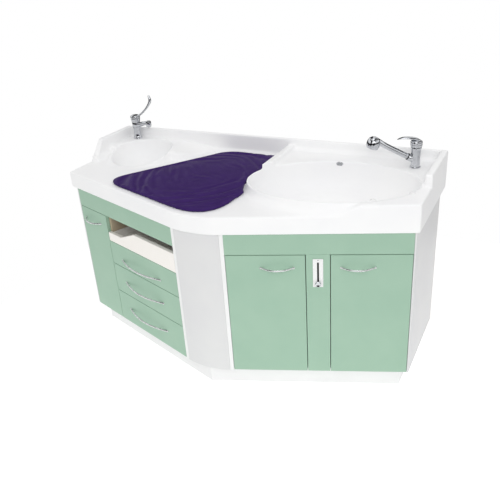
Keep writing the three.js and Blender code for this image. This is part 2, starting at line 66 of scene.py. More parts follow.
table = {
    "lean": math.radians(20),  # each front's angle to the wall
    "frontWidth": 0.813,
    "postHalf": 0.113,  # half the width of the curved post
    "sideDepth": 0.535,  # wall to the outer corner of a front
    "overhang": 0.013,  # worktop past the fronts
    "deck": 0.880,
    "bathDeck": 0.925,
    "shelf": 0.926,  # behind the wash bowl
    "ridge": 0.950,  # lip between the mat and the bath
    "upstand": 0.980,
}
leanCos = math.cos(table["lean"])
leanSin = math.sin(table["lean"])
postY = wallY - table["sideDepth"] - table["frontWidth"] * leanSin


# small tools
def fromBow(x, y, z=0.0):
    # x from the bow's middle, y from the wall (negative to the front)
    return Vector((bowX + x, wallY + y, z))


def deselectAll():
    if bpy.context.object and bpy.context.object.mode != "OBJECT":
        bpy.ops.object.mode_set(mode="OBJECT")
    bpy.ops.object.select_all(action="DESELECT")


def pick(*pieces):
    deselectAll()
    for piece in pieces:
        piece.select_set(True)
    bpy.context.view_layer.objects.active = pieces[-1]


def applyPlace(piece):
    pick(piece)
    bpy.ops.object.transform_apply(location=True, rotation=True, scale=True)
    return piece


def addBlock(name, low, high):
    deselectAll()
    low, high = Vector(low), Vector(high)
    bpy.ops.mesh.primitive_cube_add(size=1, location=(low + high) / 2, scale=high - low)
    piece = bpy.context.object
    piece.name = name
    return applyPlace(piece)


def selectWhere(piece, kind, test):
    # leaves the piece in edit mode with what passes the test selected
    pick(piece)
    bpy.ops.object.mode_set(mode="EDIT")
    bpy.ops.mesh.select_mode(type=kind)
    bpy.ops.mesh.select_all(action="DESELECT")
    bpy.ops.object.mode_set(mode="OBJECT")
    mesh = piece.data
    if kind == "FACE":
        for face in mesh.polygons:
            face.select = bool(test(face.center, face.normal))
    elif kind == "EDGE":
        for edge in mesh.edges:
            a, b = (mesh.vertices[i].co for i in edge.vertices)
            edge.select = bool(test(a, b))
    else:
        for corner in mesh.vertices:
            corner.select = bool(test(corner.co))
    bpy.ops.object.mode_set(mode="EDIT")


def endEdit():
    bpy.ops.object.mode_set(mode="OBJECT")


def cutOff(piece, place, outward):
    # takes away what lies past a plane and closes the cut
    pick(piece)
    bpy.ops.object.mode_set(mode="EDIT")
    bpy.ops.mesh.select_all(action="SELECT")
    bpy.ops.mesh.bisect(plane_co=place, plane_no=outward, use_fill=True, clear_outer=True)
    endEdit()
    return piece


def useModifier(piece, kind, **values):
    pick(piece)
    modifier = piece.modifiers.new(kind.lower(), kind)
    for key, value in values.items():
        setattr(modifier, key, value)
    bpy.ops.object.modifier_apply(modifier=modifier.name)
    return piece


def combine(piece, other, operation="UNION"):
    useModifier(piece, "BOOLEAN", operation=operation, object=other, solver="EXACT")
    bpy.data.objects.remove(other)
    return piece


def softenEdges(piece, width, angle=35):
    return useModifier(
        piece, "BEVEL", width=width, segments=2, limit_method="ANGLE",
        angle_limit=math.radians(angle), harden_normals=False,
    )


def smoothShade(piece, angle=35):
    pick(piece)
    bpy.ops.object.shade_smooth_by_angle(angle=math.radians(angle))
    return piece


def ringStack(name, centre, rings, sides=96, turn=0.0):
    # rings are (half length, half depth, height), from the first cap to the last
    deselectAll()
    bpy.ops.mesh.primitive_circle_add(vertices=sides, radius=1, fill_type="NGON", location=(0, 0, 0))
    piece = bpy.context.object
    piece.name = name
    bpy.ops.object.mode_set(mode="EDIT")
    bpy.ops.mesh.select_all(action="SELECT")
    lastX, lastY, lastZ = rings[0]
    bpy.ops.transform.resize(value=(lastX, lastY, 1), center_override=(0, 0, 0))
    bpy.ops.transform.translate(value=(0, 0, lastZ))
    for nextX, nextY, nextZ in rings[1:]:
        bpy.ops.mesh.extrude_region_move(TRANSFORM_OT_translate={"value": (0, 0, nextZ - lastZ)})
        bpy.ops.transform.resize(
            value=(nextX / lastX, nextY / lastY, 1), center_override=(0, 0, nextZ)
        )
        lastX, lastY, lastZ = nextX, nextY, nextZ
    bpy.ops.mesh.select_all(action="SELECT")
    bpy.ops.mesh.normals_make_consistent(inside=False)
    endEdit()
    piece.rotation_euler.z = turn
    piece.location = centre
    return applyPlace(piece)


def onFace(side, along, height=0.0):
    # a point on the left (-1) or right (1) front, measured along it from the post
    x = bowX + side * (table["postHalf"] + along * leanCos)
    return Vector((x, postY + along * leanSin, height))


def placeOnFace(piece, side, along, height):
    # the piece is drawn at the origin, its own +X along the front and +Y into the cabinet
    piece.rotation_euler.z = side * table["lean"]
    piece.location = onFace(side, along, height)
    return applyPlace(piece)


def finishPiece(piece, body, material, slotName, *nodes):
    piece.data.materials.clear()
    piece.data.materials.append(material)
    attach(piece, body)
    if nodes:
        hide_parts(*nodes)
    return piece


# materials
def fromScreen(*channels):
    # 0 to 255 screen colour to the shader's linear one
    return tuple(((c / 255 + 0.055) / 1.055) ** 2.4 if c > 10 else c / 3294 for c in channels) + (1.0,)


def startMaterial(name, roughness, metallic=0.0):
    material = bpy.data.materials.new(name)
    material.use_nodes = True
    nodes = material.node_tree.nodes
    shader = nodes["Principled BSDF"]
    shader.inputs["Roughness"].default_value = roughness
    shader.inputs["Metallic"].default_value = metallic
    return material, nodes, material.node_tree.links, shader


def addNoise(nodes, links, scale, detail=3.0, stretch=(1, 1, 1)):
    place = nodes.new("ShaderNodeTexCoord")
    mapping = nodes.new("ShaderNodeMapping")
    mapping.inputs["Scale"].default_value = stretch
    noise = nodes.new("ShaderNodeTexNoise")
    noise.inputs["Scale"].default_value = scale
    noise.inputs["Detail"].default_value = detail
    links.new(place.outputs["Object"], mapping.inputs["Vector"])
    links.new(mapping.outputs["Vector"], noise.inputs["Vector"])
    return noise


def spread(nodes, links, source, low, high):
    remap = nodes.new("ShaderNodeMapRange")
    remap.inputs["From Min"].default_value = 0.3
    remap.inputs["From Max"].default_value = 0.7
    remap.inputs["To Min"].default_value = low
    remap.inputs["To Max"].default_value = high
    links.new(source, remap.inputs["Value"])
    return remap.outputs["Result"]


def tint(nodes, links, source, dark, light, shader):
    ramp = nodes.new("ShaderNodeValToRGB")
    ramp.color_ramp.elements[0].position = 0.35
    ramp.color_ramp.elements[0].color = dark
    ramp.color_ramp.elements[1].position = 0.65
    ramp.color_ramp.elements[1].color = light
    links.new(source, ramp.inputs["Fac"])
    links.new(ramp.outputs["Color"], shader.inputs["Base Color"])


def bump(nodes, links, source, depth, shader, strength):
    node = nodes.new("ShaderNodeBump")
    node.inputs["Strength"].default_value = strength
    node.inputs["Distance"].default_value = depth
    links.new(source, node.inputs["Height"])
    links.new(node.outputs["Normal"], shader.inputs["Normal"])


def makeCast():
    # gloss cast composite, never quite even
    look = {"dark": (245, 245, 246), "light": (248, 248, 248), "cloud": 5, "ripple": 45}
    material, nodes, links, shader = startMaterial("castWhite", 0.35)
    shader.inputs["Specular IOR Level"].default_value = 0.22
    cloud = addNoise(nodes, links, look["cloud"])
    tint(nodes, links, cloud.outputs["Fac"], fromScreen(*look["dark"]), fromScreen(*look["light"]), shader)
    ripple = addNoise(nodes, links, look["ripple"], 2)
    links.new(spread(nodes, links, ripple.outputs["Fac"], 0.33, 0.38), shader.inputs["Roughness"])
    bump(nodes, links, ripple.outputs["Fac"], 0.00002, shader, 0.2)
    return material


def makeLaminate(name, dark, light):
    # satin board facing with a fine grain
    look = {"cloud": 6, "grain": 700}
    material, nodes, links, shader = startMaterial(name, 0.45)
    shader.inputs["Specular IOR Level"].default_value = 0.25
    cloud = addNoise(nodes, links, look["cloud"], 4)
    tint(nodes, links, cloud.outputs["Fac"], fromScreen(*dark), fromScreen(*light), shader)
    fine = addNoise(nodes, links, look["grain"], 2)
    links.new(spread(nodes, links, fine.outputs["Fac"], 0.38, 0.52), shader.inputs["Roughness"])
    bump(nodes, links, fine.outputs["Fac"], 0.00025, shader, 0.5)
    return material


def makeMetal(name, dark, light, low, high, smear=(1, 1, 1), scale=40):
    # roughness wanders from low to high, as where it is wiped
    material, nodes, links, shader = startMaterial(name, low, metallic=1.0)
    smudge = addNoise(nodes, links, scale, 4, smear)
    tint(nodes, links, smudge.outputs["Fac"], fromScreen(*dark), fromScreen(*light), shader)
    links.new(spread(nodes, links, smudge.outputs["Fac"], low, high), shader.inputs["Roughness"])
    return material


def makePlastic(name, dark, light, low, high, grain=350, depth=0.0002):
    material, nodes, links, shader = startMaterial(name, low)
    fine = addNoise(nodes, links, grain, 3)
    tint(nodes, links, fine.outputs["Fac"], fromScreen(*dark), fromScreen(*light), shader)
    links.new(spread(nodes, links, fine.outputs["Fac"], low, high), shader.inputs["Roughness"])
    bump(nodes, links, fine.outputs["Fac"], depth, shader, 0.6)
    return material


def makeVinyl():
    # coated fabric with a pebbled surface
    look = {"dark": (56, 34, 92), "light": (60, 37, 98), "pebble": 620, "wrinkle": 24}
    material, nodes, links, shader = startMaterial("vinylPurple", 0.5)
    shader.inputs["Specular IOR Level"].default_value = 0.06
    cloud = addNoise(nodes, links, look["wrinkle"], 4)
    tint(nodes, links, cloud.outputs["Fac"], fromScreen(*look["dark"]), fromScreen(*look["light"]), shader)
    place = nodes.new("ShaderNodeTexCoord")
    pebble = nodes.new("ShaderNodeTexVoronoi")
    pebble.inputs["Scale"].default_value = look["pebble"]
    links.new(place.outputs["Object"], pebble.inputs["Vector"])
    links.new(spread(nodes, links, pebble.outputs["Distance"], 0.5, 0.4), shader.inputs["Roughness"])
    bump(nodes, links, pebble.outputs["Distance"], 0.0002, shader, 0.4)
    return material


castWhite = makeCast()
greenLaminate = makeLaminate("greenLaminate", (160, 192, 171), (164, 195, 174))
whiteLaminate = makeLaminate("whiteLaminate", (240, 240, 240), (243, 243, 243))
greyLaminate = makeLaminate("greyLaminate", (221, 221, 222), (224, 224, 224))
# white boards inside the niche, made darker and warmer: painted shade and painted warm reflection from the
# cream tray
paintedShadeLaminate = makeLaminate("paintedShadeLaminate", (196, 180, 154), (206, 190, 164))
chrome = makeMetal("chrome", (196, 198, 202), (212, 214, 218), 0.04, 0.09)
zincSteel = makeMetal("zincSteel", (158, 161, 165), (190, 192, 195), 0.25, 0.42, (1, 1, 12), 120)
handleMetal = makeMetal("handleMetal", (222, 221, 223), (236, 236, 238), 0.24, 0.3)
trayPlastic = makePlastic("trayPlastic", (246, 242, 236), (250, 246, 241), 0.35, 0.45)
drawerCoat = makePlastic("drawerCoat", (228, 228, 226), (234, 234, 232), 0.4, 0.5, 900, 0.0003)
platePlastic = makePlastic("platePlastic", (238, 238, 238), (243, 243, 243), 0.22, 0.3, 200, 0.0001)
pipePlastic = makePlastic("pipePlastic", (214, 214, 214), (222, 222, 222), 0.35, 0.45)
blackRubber = makePlastic("blackRubber", (10, 10, 11), (18, 18, 19), 0.4, 0.55, 500, 0.0002)
vinylPurple = makeVinyl()
print("materials ready")

# camera, light and floor
camera = {
    "place": fromBow(1.317, -2.828, 1.884),
    "yaw": math.radians(27.71),
    "pitch": math.radians(26.46),
    "roll": math.radians(3.86),
    "lens": 44.47,
}


def addCamera():
    yaw, pitch, roll = camera["yaw"], camera["pitch"], camera["roll"]
    ahead = Vector((-math.sin(yaw) * math.cos(pitch), math.cos(yaw) * math.cos(pitch), -math.sin(pitch)))
    level = Vector((math.cos(yaw), math.sin(yaw), 0))
    upright = level.cross(ahead)
    right = level * math.cos(roll) - upright * math.sin(roll)
    up = level * math.sin(roll) + upright * math.cos(roll)
    data = bpy.data.cameras.new("camera")
    data.lens = camera["lens"]
    data.sensor_width = 36
    eye = bpy.data.objects.new("camera", data)
    bpy.context.scene.collection.objects.link(eye)
    turn = Matrix((right, up, -ahead)).transposed()
    eye.matrix_world = Matrix.Translation(camera["place"]) @ turn.to_4x4()
    bpy.context.scene.camera = eye


addCamera()

studio = {
    "room": 0.78, "key": 34, "fill": 2, "top": 6,
    "dark": 0.02, "bright": 1.1,  # bands seen in the chrome
    "floorSize": 3.1, "floorGlow": 0.3,
}


def addSoftbox(name, place, aim, size, power):
    deselectAll()
    bpy.ops.object.light_add(type="AREA", location=place)
    lamp = bpy.context.object
    lamp.name = name
    lamp.data.shape = "RECTANGLE"
    lamp.data.size, lamp.data.size_y = size
    lamp.data.energy = power
    lamp.rotation_euler = (Vector(aim) - Vector(place)).to_track_quat("-Z", "Y").to_euler()


def makeStudio():
    # white all round, with dark walls that only show as reflections
    world = bpy.data.worlds.new("studio")
    bpy.context.scene.world = world
    world.use_nodes = True
    nodes, links = world.node_tree.nodes, world.node_tree.links
    room = nodes["Background"]
    room.inputs["Strength"].default_value = studio["room"]
    reflected = nodes.new("ShaderNodeBackground")
    seen = nodes.new("ShaderNodeBackground")
    seen.inputs["Color"].default_value = room.inputs["Color"].default_value = (1, 1, 1, 1)
    seen.inputs["Strength"].default_value = 1.0
    direction = nodes.new("ShaderNodeTexCoord")
    parts = nodes.new("ShaderNodeSeparateXYZ")
    links.new(direction.outputs["Generated"], parts.inputs["Vector"])
    dark, bright = studio["dark"], studio["bright"]
    bands = {
        "Z": (
            (0.0, 0.9), (0.42, 0.8), (0.46, dark), (0.56, dark),
            (0.60, 0.9), (0.78, bright), (0.82, 0.1), (0.90, 0.9),
        ),
        "X": (
            (0.18, 1), (0.22, dark), (0.36, dark), (0.40, 1),
            (0.58, 1), (0.61, dark), (0.76, dark), (0.79, 1),
        ),
    }
    patterns = []
    for axis, stops in bands.items():
        walls = nodes.new("ShaderNodeValToRGB")
        while len(walls.color_ramp.elements) < len(stops):
            walls.color_ramp.elements.new(0.5)
        for stop, (place, level) in zip(walls.color_ramp.elements, stops):
            stop.position = place
            stop.color = (level, level, level, 1)
        along = nodes.new("ShaderNodeMapRange")
        along.inputs["From Min"].default_value = -1
        links.new(parts.outputs[axis], along.inputs["Value"])
        links.new(along.outputs["Result"], walls.inputs["Fac"])
        patterns.append(walls.outputs["Color"])
    both = nodes.new("ShaderNodeVectorMath")
    both.operation = "MULTIPLY"
    links.new(patterns[0], both.inputs[0])
    links.new(patterns[1], both.inputs[1])
    links.new(both.outputs["Vector"], reflected.inputs["Color"])
    ray = nodes.new("ShaderNodeLightPath")
    glossMix = nodes.new("ShaderNodeMixShader")
    seenMix = nodes.new("ShaderNodeMixShader")
    links.new(ray.outputs["Is Glossy Ray"], glossMix.inputs["Fac"])
    links.new(room.outputs["Background"], glossMix.inputs[1])
    links.new(reflected.outputs["Background"], glossMix.inputs[2])
    links.new(ray.outputs["Is Camera Ray"], seenMix.inputs["Fac"])
    links.new(glossMix.outputs["Shader"], seenMix.inputs[1])
    links.new(seen.outputs["Background"], seenMix.inputs[2])
    links.new(seenMix.outputs["Shader"], nodes["World Output"].inputs["Surface"])


makeStudio()
addSoftbox("keySoftbox", (1.9, -3.0, 3.0), (0.1, 0, 0.6), (2.2, 1.6), studio["key"])
addSoftbox("topSoftbox", (0.1, -0.2, 3.3), (0.1, 0, 0.8), (2.4, 1.4), studio["top"])
addSoftbox("fillSoftbox", (-2.6, -1.8, 2.6), (-0.2, 0, 0.6), (1.6, 1.6), studio["fill"])
bpy.context.scene.view_settings.view_transform = "Standard"


def addFloor():
    deselectAll()
    bpy.ops.mesh.primitive_plane_add(size=studio["floorSize"], location=(0, 0, 0))
    floor = bpy.context.object
    floor.name = "floor"
    paint = makePlastic("floorPaint", (250, 250, 250), (252, 252, 252), 0.7, 0.8, 30, 0.0001)
    shader = paint.node_tree.nodes["Principled BSDF"]
    shader.inputs["Emission Color"].default_value = (1, 1, 1, 1)
    shader.inputs["Emission Strength"].default_value = studio["floorGlow"]
    floor.data.materials.append(paint)


addFloor()
print("camera and light ready")

# cast worktop with its bath and wash bowl
top = {
    "apronFoot": cabinetTop,
    "bath": fromBow(0.465, -0.382),
    "bathHalf": (0.380, 0.255),
    "bathTurn": math.radians(10),
    "bathDepth": 0.200,
    "basin": fromBow(-0.675, -0.210),
    "basinHalf": (0.163, 0.170),
    "basinDepth": 0.140,
    "drain": 0.024,
    "shell": 0.008,
    "skin": 0.030,  # apron and upstands
    "deckSkin": 0.018,
    "voxel": 0.0042,  # of the remesh that runs every blend together
    "triangles": 192000,
}


def frontPlane(side, outward):
    # a point on a front's plane moved outwards, and the plane's outward direction
    normal = Vector((side * leanSin, -leanCos, 0))
    return onFace(side, 0) + normal * outward, normal


def trimToBow(piece, outward, sides=(-1, 1)):
    # cuts the piece back to the fronts' planes
    for side in sides:
        place, normal = frontPlane(side, outward)
        cutOff(piece, place, normal)
    return piece


def roundBow(piece, outward):
    # the upright edge where the two fronts would meet becomes the wide curve over the post
    radius = table["postHalf"] / leanSin + outward
    selectWhere(
        piece, "EDGE",
        lambda a, b: max(abs(a.x - bowX), abs(b.x - bowX)) < 0.001 and abs(a.z - b.z) > 0.001 and a.y < 0,
    )
    bpy.ops.mesh.bevel(offset=radius * math.tan(table["lean"]), segments=20, affect="EDGES")
    endEdit()
    return piece


def bowlRings(half, depth, rim, grow, above):
    rings = [(half[0] + grow, half[1] + grow, rim + above)]
    for i in range(13):
        share = i / 12
        drop = math.sin(share * math.pi / 2)
        reach = max(math.cos(share * math.pi / 2), 0.0256) ** 0.5  # steep sides and a flat floor
        rings.append(((half[0] + grow) * reach, (half[1] + grow) * reach, rim - (depth + grow) * drop))
    return rings


def addSlopedBlock(body, name, low, high, *cuts):
    # a block joined to the body after its corners are cut off by sloping planes
    piece = addBlock(name, low, high)
    for place, outward in cuts:
        cutOff(piece, place, Vector(outward))
    combine(body, piece)


def makeCastTop():
    deckZ, bathZ, shelfZ = table["deck"], table["bathDeck"], table["shelf"]
    sunk = deckZ - 0.03
    front = -1.0
    body = addBlock("castTop", (leftEnd, front, top["apronFoot"]), (rightEnd, wallY, deckZ))
    roundBow(trimToBow(body, table["overhang"]), table["overhang"])

    # raised deck behind and to the right of the bath
    behind = addBlock("bathDeckRear", fromBow(0.104, -0.382, sunk), (rightEnd, wallY, bathZ))
    corner = addBlock("bathDeckCorner", (bowX + 0.540, front, sunk), (rightEnd, wallY - 0.372, bathZ))
    trimToBow(corner, table["overhang"], (1,))
    cutOff(corner, fromBow(0.66, -0.60, bathZ), Vector((-0.45, 0, 0.90)))
    wallRings = [
        (0.397, 0.308, deckZ - 0.04), (0.397, 0.308, deckZ), (0.394, 0.292, deckZ + 0.006),
        (0.391, 0.280, deckZ + 0.014), (0.389, 0.271, deckZ + 0.025), (0.388, 0.265, deckZ + 0.036),
        (0.388, 0.263, bathZ),
    ]
    wall = ringStack("bathWall", (*top["bath"][:2], 0), wallRings, 128, top["bathTurn"])
    trimToBow(wall, table["overhang"])
    ridge = addBlock("ridge", fromBow(0.103, -0.348, sunk), fromBow(0.137, 0, table["ridge"]))
    upstandEnd = (rightEnd, wallY, table["upstand"])
    back = addBlock("backUpstand", (leftEnd, wallY - 0.015, sunk), upstandEnd)
    right = addBlock("rightUpstand", (rightEnd - 0.033, wallY - 0.355, sunk), upstandEnd)
    for piece in (behind, corner, wall, ridge, back, right):
        combine(body, piece)
    addSlopedBlock(
        body, "leftUpstand", (leftEnd, wallY - 0.375, sunk), (leftEnd + 0.030, wallY, table["upstand"]),
        (fromBow(0, -0.275, table["upstand"]), (0, -0.100, 0.085)),
    )

    # coves along the upstands
    coveEnd = (rightEnd - 0.03, wallY - 0.01, bathZ + 0.022)
    for name, low, high, level in (
        ("coveBath", fromBow(0.137, -0.035, bathZ - 0.01), coveEnd, bathZ),
        ("coveDeck", (leftEnd + 0.01, wallY - 0.035, sunk), fromBow(0.104, -0.01, deckZ + 0.022), deckZ),
    ):
        addSlopedBlock(body, name, low, high, (fromBow(0, -0.015, level + 0.020), (0, -1, 1)))
    addSlopedBlock(
        body, "coveRight", (rightEnd - 0.055, wallY - 0.345, bathZ - 0.01), coveEnd,
        ((rightEnd - 0.033, 0, bathZ + 0.020), (-1, 0, 1)),
    )
    addSlopedBlock(
        body, "coveLeft", (leftEnd + 0.01, wallY - 0.36, sunk), (leftEnd + 0.060, wallY - 0.01, deckZ + 0.03),
        ((leftEnd + 0.030, 0, deckZ + 0.028), (1, 0, 1)),
    )
    addSlopedBlock(
        body, "coveRidge", fromBow(0.090, -0.36, sunk), fromBow(0.105, -0.01, deckZ + 0.02),
        (fromBow(0.103, 0, deckZ + 0.012), (-1, 0, 1)),
    )

    # raised shelf round the back of the wash bowl, sloping down to its right tip
    addSlopedBlock(
        body, "shelf", (leftEnd, wallY - 0.225, sunk), fromBow(-0.31, 0, shelfZ),
        (fromBow(-0.355, -0.10, shelfZ - 0.02), (0.55, 0, 0.8)),
        (fromBow(-0.355, -0.130, shelfZ - 0.02), (0.6, -0.6, 0.5)),
        (fromBow(-0.50, -0.205, shelfZ), (0.22, -0.8, 0.5)),
        (fromBow(-0.52, 0, shelfZ), (0.17, 0, 1)),
    )
    rimRings = [
        (0.192, 0.202, deckZ - 0.03), (0.192, 0.202, deckZ), (0.183, 0.191, deckZ + 0.007),
        (0.177, 0.184, deckZ + 0.018), (0.173, 0.180, shelfZ),
    ]
    rim = ringStack("basinRim", (*top["basin"][:2], 0), rimRings)
    cutOff(rim, top["basin"] + Vector((0, -0.170, deckZ + 0.003)), Vector((0, -0.20, 1)))
    combine(body, rim)

    # hollow underneath, then the two bowls
    skin, underDeck = top["skin"], deckZ - top["deckSkin"]
    hollow = addBlock("hollow", (leftEnd + skin, front, 0.75), (rightEnd - skin, wallY - skin, underDeck))
    roundBow(trimToBow(hollow, table["overhang"] - skin), table["overhang"] - skin)
    combine(body, hollow, "DIFFERENCE")
    for name, place, half, depth, rimZ, turn in (
        ("bath", top["bath"], top["bathHalf"], top["bathDepth"], bathZ, top["bathTurn"]),
        ("basin", top["basin"], top["basinHalf"], top["basinDepth"], shelfZ, 0),
    ):
        centre = (place.x, place.y, 0)
        lowRings = [ring for ring in bowlRings(half, depth, rimZ, top["shell"], 0) if ring[2] < deckZ - 0.011]
        outer = ringStack(name + "Shell", centre, [(*lowRings[0][:2], deckZ - 0.01), *lowRings], 96, turn)
        combine(body, outer)
        inner = ringStack(name + "Hollow", centre, bowlRings(half, depth, rimZ, 0, 0.08), 128, turn)
        combine(body, inner, "DIFFERENCE")
        drainHalf = (top["drain"], top["drain"])
        drain = ringStack(name + "Drain", centre, [(*drainHalf, 0.6), (*drainHalf, 0.82)], 32)
        combine(body, drain, "DIFFERENCE")
    print("cast top cut:", len(body.data.polygons), "faces")

    useModifier(body, "REMESH", mode="VOXEL", voxel_size=top["voxel"], adaptivity=0)
    useModifier(body, "SMOOTH", factor=0.6, iterations=7)
    softenNear(body)
    triangles = sum(len(face.vertices) - 2 for face in body.data.polygons)
    useModifier(body, "DECIMATE", ratio=min(1.0, top["triangles"] / triangles))
    pick(body)
    bpy.ops.object.shade_smooth()
    print("cast top finished:", len(body.data.polygons), "faces")
    return body


def softenNear(body):
    # wide soft blends at the wash bowl's front lip and at the foot of the bath's outer wall
    soft = body.vertex_groups.new(name="soft")
    basin, bath = top["basin"], top["bath"]
    turn = Matrix.Rotation(-top["bathTurn"], 2)
    for corner in body.data.vertices:
        place = corner.co
        fromBasin = math.hypot((place.x - basin.x) / 0.166, (place.y - basin.y) / 0.173)
        atLip = 0.86 < fromBasin < 1.3 and place.y < basin.y + 0.03 and place.z > 0.86
        local = turn @ Vector((place.x - bath.x, place.y - bath.y))
        fromBath = math.hypot(local.x / 0.397, local.y / 0.300)
        atFoot = 0.93 < fromBath < 1.2 and place.y < bath.y + 0.1 and 0.872 < place.z < 0.915
        if atLip or atFoot:
            soft.add([corner.index], 1.0, "REPLACE")
    useModifier(body, "SMOOTH", factor=0.7, iterations=30, vertex_group="soft")
    # the bath's outer wall fades into the apron
    fade = body.vertex_groups.new(name="fade")
    for corner in body.data.vertices:
        place = corner.co
        if bowX + 0.46 < place.x < bowX + 0.74 and place.y < bath.y - 0.15 and place.z > 0.872:
            local = turn @ Vector((place.x - bath.x, place.y - bath.y))
            if math.hypot(local.x / 0.388, local.y / 0.263) > 1.02:
                fade.add([corner.index], 1.0, "REPLACE")
    useModifier(body, "SMOOTH", factor=0.8, iterations=40, vertex_group="fade")


finishPiece(makeCastTop(), "cabinet", castWhite, "cast_white", "worktop", "bath_bowl", "wash_bowl")
print("cast top placed")


# copies of the cabinet's boards with broken edges
def camel(name):
    # a node's name with its underscores taken out
    first, *rest = name.split("_")
    return first + "".join(word.capitalize() for word in rest)


def fromNode(name, width):
    # a node's own shape as one clean mesh, its edges broken by the width
    source = frame["nodes"][name]
    piece = bpy.data.objects.new(camel(name), source.data.copy())
    bpy.context.scene.collection.objects.link(piece)
    pick(piece)
    bpy.ops.object.mode_set(mode="EDIT")
    bpy.ops.mesh.select_all(action="SELECT")
    bpy.ops.mesh.remove_doubles(threshold=0.00002)
    bpy.ops.mesh.dissolve_limited(angle_limit=math.radians(1))
    bpy.ops.mesh.normals_make_consistent(inside=False)
    endEdit()
    if width:
        softenEdges(piece, width, angle=30)
    smoothShade(piece, 32)
    return useModifier(piece, "WEIGHTED_NORMAL", keep_sharp=True)


def bodyOf(node):
    return frame["nodes"][node]["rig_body"]


levels = ("top", "middle", "bottom")
# slot, material, width of the broken edges and the nodes
boards = (
    ("laminate_grey", greyLaminate, 0.0008, ("side_panel_left", "side_panel_right", "corner_post")),
    ("laminate_white", whiteLaminate, 0.0006, (
        "post_panel_left", "post_panel_right", "floor_panel_left", "floor_panel_right",
        "plinth_front_left", "plinth_front_right", "plinth_side_left", "plinth_side_right",
    )),
    # these white boards get a darker warm beige, which is painted shade and painted warm reflection from the
    # tray
    ("laminate_white", paintedShadeLaminate, 0.0006, (
        "back_panel", "centre_partition", "drawer_partition", "niche_shelf",
    )),
    ("laminate_green", greenLaminate, 0.001, (
        "fascia_left", "fascia_right", "centre_strip", "bath_door_left", "bath_door_right", "side_door",
        *(f"drawer_front_{level}" for level in levels),
    )),
    ("tray_cream", trayPlastic, 0.002, ("tray",)),
    ("drawer_white", drawerCoat, 0.001, tuple(f"drawer_box_{level}" for level in levels)),
    ("plate_white", platePlastic, 0.0011, ("control_plate",)),
    ("pipe_grey", pipePlastic, 0.0015, ("bath_trap", "basin_trap")),
)
for slotName, material, width, nodeNames in boards:
    for nodeName in nodeNames:
        finishPiece(fromNode(nodeName, width), bodyOf(nodeName), material, slotName, nodeName)
print("boards finished")


# drawer runners: steel channels open towards the drawer
runner = {"wall": 0.004, "depth": 0.009}


def makeRunners():
    toDrawer = Vector((-leanCos, leanSin, 0))
    for level in levels:
        for end, direction in (("right", toDrawer), ("left", -toDrawer)):
            node = f"runner_{level}_{end}"
            piece = fromNode(node, 0)
            selectWhere(piece, "FACE", lambda centre, normal: normal.dot(direction) > 0.9)
            bpy.ops.mesh.inset(thickness=runner["wall"])
            bpy.ops.mesh.extrude_region_move(TRANSFORM_OT_translate={"value": -direction * runner["depth"]})
            endEdit()
            softenEdges(piece, 0.0008)
            smoothShade(piece, 32)
            finishPiece(piece, bodyOf(node), zincSteel, "steel", node)


makeRunners()
print("runners finished")


# round metal parts
def turnedPart(name, rings, sides=48, start=(0, 0, 0), aim=None):
    # rings are (radius, height along the axis), and the axis runs from start towards aim
    piece = ringStack(name, (0, 0, 0), [(r, r, z) for r, z in rings], sides)
    if aim is not None:
        piece.rotation_euler = (Vector(aim) - Vector(start)).to_track_quat("Z", "Y").to_euler()
    piece.location = start
    return applyPlace(piece)


def bendBar(name, path, radii, widen=1.0):
    # a bar along a smooth path in the XZ plane, with its own radius at every point, stretched across Y
    deselectAll()
    bpy.ops.curve.primitive_nurbs_path_add(location=(0, 0, 0))
    bar = bpy.context.object
    bar.name = name
    line = bar.data.splines[0]
    line.points.add(len(path) - len(line.points))
    for point, place, radius in zip(line.points, path, radii):
        point.co = (*place, 1)
        point.radius = radius / max(radii)
    line.order_u = 4
    line.use_endpoint_u = True
    line.resolution_u = 6
    bar.data.bevel_depth = max(radii)
    bar.data.bevel_resolution = 8
    bar.data.use_fill_caps = True
    bpy.ops.object.convert(target="MESH")
    bar = bpy.context.object
    pick(bar)
    bpy.ops.object.mode_set(mode="EDIT")
    bpy.ops.mesh.select_all(action="SELECT")
    bpy.ops.mesh.remove_doubles(threshold=0.00001)
    bpy.ops.transform.resize(value=(1, widen, 1), center_override=(0, 0, 0))
    bpy.ops.mesh.normals_make_consistent(inside=False)
    endEdit()
    return bar


def stand(piece, fitting):
    # moves a piece drawn at the origin to its tap's place, with its +X along the heading
    piece.location = fitting["place"]
    piece.rotation_euler.z = math.radians(fitting["heading"])
    return smoothShade(applyPlace(piece), 40)


# bow handles
handle = {"reach": 0.030, "bar": 0.0040, "foot": 0.0054, "doorSpan": 0.148, "drawerSpan": 0.324}


def makeHandle(name, span):
    half = span / 2 - 0.003
    path = []
    for share in (-1, -0.93, -0.72, -0.42, -0.14, 0.14, 0.42, 0.72, 0.93, 1):
        path.append((half * share, -handle["reach"] * 1.03 * (1 - share * share), 0))
    piece = bendBar(name, path, [handle["bar"]] * len(path))
    rings = [(handle["foot"], 0.0), (handle["foot"], 0.0016), (0.0050, 0.0024)]
    for end in (-1, 1):
        footX = end * (half - 0.001)
        combine(piece, turnedPart(name + "Foot", rings, 24, (footX, -0.0003, 0), (footX, -1, 0)))
    return smoothShade(piece, 40)


def copyOf(piece, name):
    twin = piece.copy()
    twin.data = piece.data.copy()
    twin.name = name
    bpy.context.scene.collection.objects.link(twin)
    return twin


def removeModels(*models):
    for model in models:
        bpy.data.objects.remove(model)


